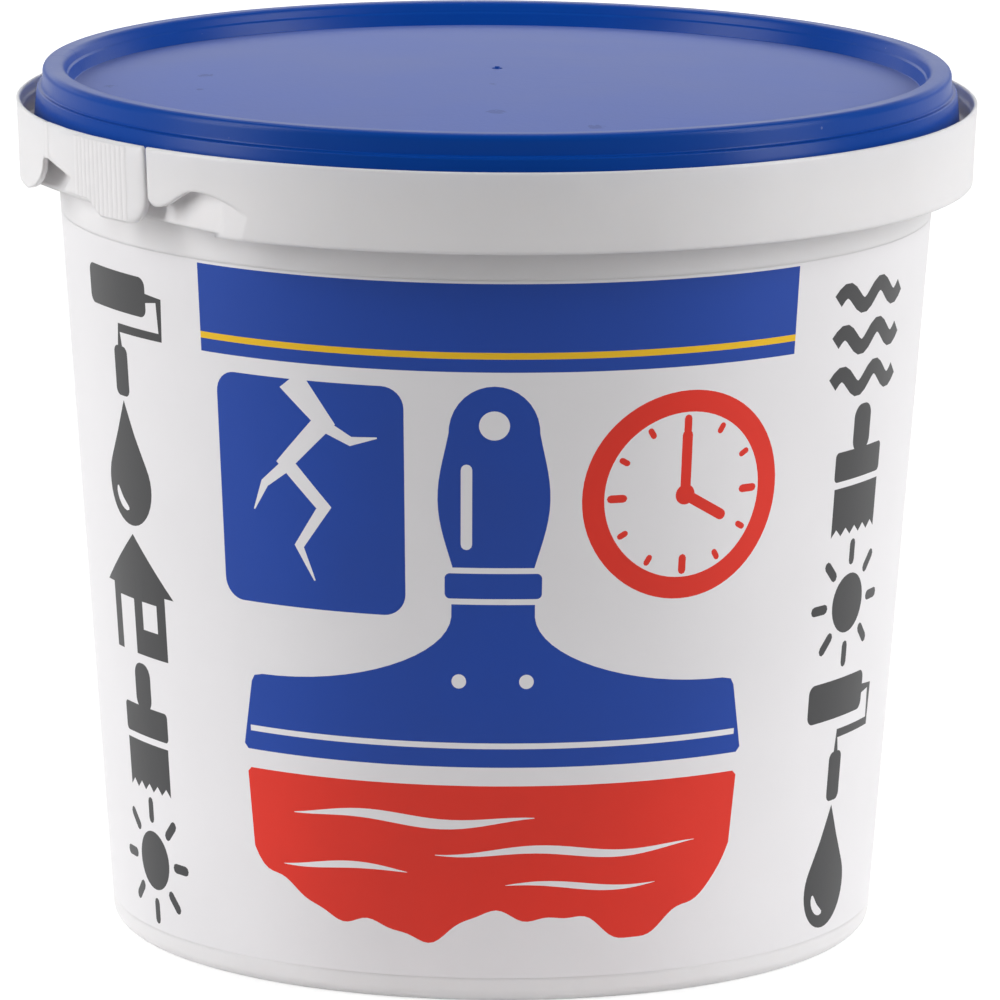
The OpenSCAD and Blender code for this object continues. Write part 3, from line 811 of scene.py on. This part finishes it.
def knifeBlade(k):
    edge, shoulder, neckHalf = k["edgeHalf"], k["shoulderHalf"], k["neckHalf"]
    cutX, cutZ = k["edgeCut"]
    line = [(edge - cutX, k["edgeZ"]), (edge, k["edgeZ"] + cutZ)]
    line += [(shoulder + dx, k["shoulderZ"] + dz) for dx, dz in k["shoulderCut"]]
    line += curved(shoulder, k["neckZ"], shoulder - neckHalf, k["neckZ"] - k["shoulderZ"],
                   *k["cove"], 16)
    return mirrored(line + [(neckHalf, k["neckZ"] + k["neckTop"])])


def knifeGrip(k, steps=14):  # waisted, with a round end
    line = []
    length = k["gripHigh"] - k["gripLow"] - k["gripEnd"]
    for i in range(steps + 1):
        t = i / steps
        bulge = k["gripBulge"] * math.sin(math.pi * (t * k["bulgeTurns"] + k["bulgeStart"]))
        swell = k["gripHalf"] * (k["gripWaist"] + bulge + k["gripFlare"] * t)
        line.append((swell, k["gripLow"] + t * length))
    end = curved(0, k["gripHigh"] - k["gripEnd"], line[-1][0], k["gripEnd"], 8, 90)
    return mirrored(line + end)


def knifePrint(k):
    bevelZ, bevelHalf = k["edgeZ"] + k["bevel"], k["edgeHalf"] - k["bevelIn"]
    bevel = tile(-bevelHalf, bevelZ, bevelHalf, bevelZ + k["bevelLine"])
    ferrule = tile(-k["ferruleHalf"], k["ferruleLow"], k["ferruleHalf"], k["ferruleHigh"],
                   k["ferruleR"])
    hole = disc(0, k["holeZ"], k["holeR"], 32)
    gleam = bar((k["gleamX"], k["gleamLow"]), (k["gleamX"], k["gleamHigh"]), k["gleamHalf"])
    rivets = [disc(side * k["rivetX"], k["shoulderZ"] + k["rivetRise"], k["rivetR"], 24)
              for side in (-1, 1)]
    return [("inkBlue", knifeBlade(k)), ("filmWhite", bevel), ("inkBlue", ferrule),
            ("inkBlue", knifeGrip(k)), ("filmWhite", hole), ("filmWhite", gleam)] + [
            ("filmWhite", rivet) for rivet in rivets]


def smearPrint(s):
    half, top, cut, steps = s["half"], s["top"], s["cut"], s["streakSteps"]
    foot = []
    for k in range(s["steps"] + 1):
        x = -half + 2 * half * k / s["steps"]
        wave = sum(high * math.sin(turn * x + start) for high, turn, start in s["waves"])
        foot.append((x, s["low"] + wave + s["rise"] * (abs(x) / half) ** s["riseCurve"]))
    head = [(half + cut, top - cut), (half, top), (-half, top), (-half - cut, top - cut)]
    shapes = [("inkRed", foot + head)]
    for x0, x1, z, deep in s["streaks"]:
        xs = [x0 + (x1 - x0) * k / steps for k in range(steps + 1)]
        run = [(x, z + s["sway"] * math.sin(s["swayTurn"] * x)) for x in xs]
        shares = [s["streakTip"] + (1 - 2 * s["streakTip"]) * k / steps for k in range(steps + 1)]
        shapes.append(("filmWhite", ribbon(run, [deep * math.sin(math.pi * t) for t in shares])))
    return shapes


def clockPrint(c):
    middle = Vector((c["x"], c["z"]))
    inner = c["r"] - c["ring"]
    shapes = [("inkRed", disc(*middle, c["r"], 72)), ("filmWhite", disc(*middle, inner, 72))]
    for k in range(c["ticks"]):
        turn = 2 * math.pi * k / c["ticks"]
        way = Vector((math.sin(turn), math.cos(turn)))
        length, half = c["shortTick"] if k % 3 else c["longTick"]
        far = inner - c["tickGap"]
        shapes.append(("inkRed", bar(middle + way * far, middle + way * (far - length), half, 4)))
    for length, turn in ((c["minute"], 0), (c["hour"], c["hourTurn"])):
        tip = middle + Vector((math.sin(turn), math.cos(turn))) * length
        shapes.append(("inkRed", bar(middle, tip, c["handHalf"])))
    return shapes + [("inkRed", disc(*middle, c["hubR"], 24))]


def crackPrint(t):
    x = (t["x0"] + t["x1"]) / 2
    shapes = [("inkBlue", tile(t["x0"], t["z0"], t["x1"], t["z1"], t["r"]))]
    for crack in t["cracks"]:
        run = [(x + dx, t["z1"] + dz) for dx, dz, _ in crack]
        shapes.append(("filmWhite", ribbon(run, [half for _, _, half in crack])))
    return shapes


# signs: small drawings around their own middle
def rollerSign():
    frameLine = [(6, 4.6), (8.4, 4.6), (8.4, 0.2), (0, 0.2), (0, -2.4)]
    loops = [tile(-7, 2.2, 6, 7, 1.1), ribbon(frameLine, [0.55] * len(frameLine)),
             tile(-1.5, -8, 1.5, -2, 0.9)]
    return [("inkGrey", loop) for loop in loops]


def brushSign():
    tips = [(5 - k, -7.6 + (0.9 if k % 2 else 0)) for k in range(11)]
    loops = [tile(-1.9, 2.2, 1.9, 8, 1.6), tile(-5.2, -0.9, 5.2, 2.7, 0.6),
             [(-5, -1.7)] + tips[::-1] + [(5, -1.7)]]
    return [("inkGrey", loop) for loop in loops]


def dropSign():
    sides = curved(0, -2.6, 4.9, 4.9, -212, 32, 26)
    gleam = curved(0, -2.6, 3.0, 3.0, 190, 262, 8)
    return [("inkGrey", sides + [(2.0, 3.6), (0, 7.6), (-2.0, 3.6)]),
            ("filmWhite", ribbon(gleam, (0.15, 0.4, 0.5, 0.55, 0.55, 0.55, 0.5, 0.4, 0.15)))]


def houseSign():
    walls = [(-6.2, -7), (6.2, -7), (6.2, 0.8)]
    roof = [(8, 0.8), (0, 7.6), (-8, 0.8), (-6.2, 0.8)]
    door, window = tile(-4.4, -7.02, -0.8, -0.4), tile(1.2, -3.8, 4.4, -0.4)
    return [("inkGrey", walls + roof), ("filmWhite", door), ("filmWhite", window)]


def sunSign():
    loops = [disc(0, 0, 3.6, 32)]
    for k in range(8):
        x, z = math.sin(k * math.pi / 4), math.cos(k * math.pi / 4)
        loops.append(bar((x * 5.2, z * 5.2), (x * 7.2, z * 7.2), 0.6, 4))
    return [("inkGrey", loop) for loop in loops]


def levelSign():
    xs = [14 * k / 20 for k in range(21)]
    lines = [[(x - 7, z + 1.1 * math.sin(0.9 * x)) for x in xs] for z in (-5, 0, 5)]
    return [("inkGrey", ribbon(line, [0.95] * len(line))) for line in lines]


signColumns = {
    -59: (rollerSign, dropSign, houseSign, brushSign, sunSign),
    58.5: (levelSign, brushSign, sunSign, rollerSign, dropSign),
}
signRow = {"top": 88.2, "pitch": 18.7, "size": 1.16}


def signPrint():
    shapes = []
    for x, signs in signColumns.items():
        for row, sign in enumerate(signs):
            z = signRow["top"] - row * signRow["pitch"]
            shapes += [(ink, moved(loop, x, z, signRow["size"])) for ink, loop in sign()]
    return shapes


def filmPoint(x, z, depth):
    return turnedAround(x / labelShape["flatR"], wallRadius(z) - depth, z)


def buildLabel(s):
    half = math.pi * s["flatR"] - s["seam"] / 2
    height = s["high"] - s["low"]
    shapes = [("filmWhite", tile(-half, s["low"], half, s["high"]))]
    shapes += stripePrint(stripe) + crackPrint(crackTile) + clockPrint(clock)
    shapes += knifePrint(knife) + smearPrint(smear) + signPrint()
    spots, edges, loops, owner = [], [], [], []
    for ink, loop in shapes:
        loops.append(list(range(len(spots), len(spots) + len(loop))))
        spots += [Vector(p) for p in ccw(loop)]
        owner.append(inks.index(ink))
    columns, rows = math.ceil(360 / s["turnStep"]), math.ceil(height / s["rowStep"])
    for i in range(1, columns):  # upright lines keep every face on the cone
        x = -half + 2 * half * i / columns
        start = len(spots)
        spots += [Vector((x, s["low"] + height * j / rows)) for j in range(rows + 1)]
        edges += [(start + j, start + j + 1) for j in range(rows)]
    found, _, cells, _, _, origins = delaunay_2d_cdt(spots, edges, loops, 0, tiny)
    points = [filmPoint(p.x, p.y, depth) for depth in (0, s["film"]) for p in found]
    faces = sheetFaces([list(cell) for cell in cells], len(found))
    looks = [owner[max(origin)] if origin else 0 for origin in origins]  # the last ink lies on top
    looks += [0] * (len(faces) - len(looks))
    return makePiece("labelFilm", points, faces, inks, looks, sharpAngle=50)


labelPiece = buildLabel(labelShape)
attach(labelPiece, "tub")
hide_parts("label")
print("label printed:", len(labelPiece.data.polygons), "faces")


# filler: paste levelled with a knife, in swirls that show when the lid is off
pasteShape = {
    "level": 104.4, "gap": 0.1, "floorFlat": 6, "rimDrop": 0.5, "rings": 60, "segments": 180,
    "arms": 3, "turns": 2.6, "spread": 0.8, "wander": 1.4, "wanderScale": 0.045,
    "swirl": 0.9, "crest": 0.7, "middle": 0.35, "rough": 0.25, "roughScale": 0.16,
    "roughSteps": (0.8, 2.1, 4), "core": 7, "edge": 5.0, "least": 0.12,
}


def pasteRadius(z):
    return wallRadius(z) - tubShape["wall"] - pasteShape["gap"]


def pasteLift(r, angle, z):
    p = pasteShape
    if z < p["level"] - tiny:
        return 0
    x, y = r * math.sin(angle), -r * math.cos(angle)
    outer = pasteRadius(z)
    phase = p["arms"] * angle + p["turns"] * 2 * math.pi * (r / outer) ** p["spread"]
    phase += p["wander"] * noise.noise(Vector((x, y, 3)) * p["wanderScale"])
    ridge = 1 - abs(math.sin(phase / 2)) ** p["crest"]
    grain = noise.fractal(Vector((x, y, 7)) * p["roughScale"], *p["roughSteps"])
    calm = min(1, r / p["core"]) * min(1, max(0, (outer - r) / p["edge"]))
    share = p["least"] + (1 - p["least"]) * calm
    return (p["swirl"] * (ridge - p["middle"]) + p["rough"] * grain) * share


def pasteLine(p):
    low = tubShape["floorTop"] + p["gap"]
    corner, top = pasteRadius(low), pasteRadius(p["level"])
    side = rounded([(corner - p["floorFlat"], low, 0), (corner, low, tubShape["floorRound"]),
                    (top, p["level"] - p["rimDrop"], 0)])
    surface = [(top * (1 - k / p["rings"]), p["level"]) for k in range(p["rings"] + 1)]
    return [(0, low)] + side + surface


pastePiece = lathe("fillerPaste", pasteLine(pasteShape), ["pasteWhite"],
                   segments=pasteShape["segments"], lift=pasteLift, sharpAngle=60)
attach(pastePiece, "tub")
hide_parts("filler")
print("paste levelled:", len(pastePiece.data.polygons), "faces")
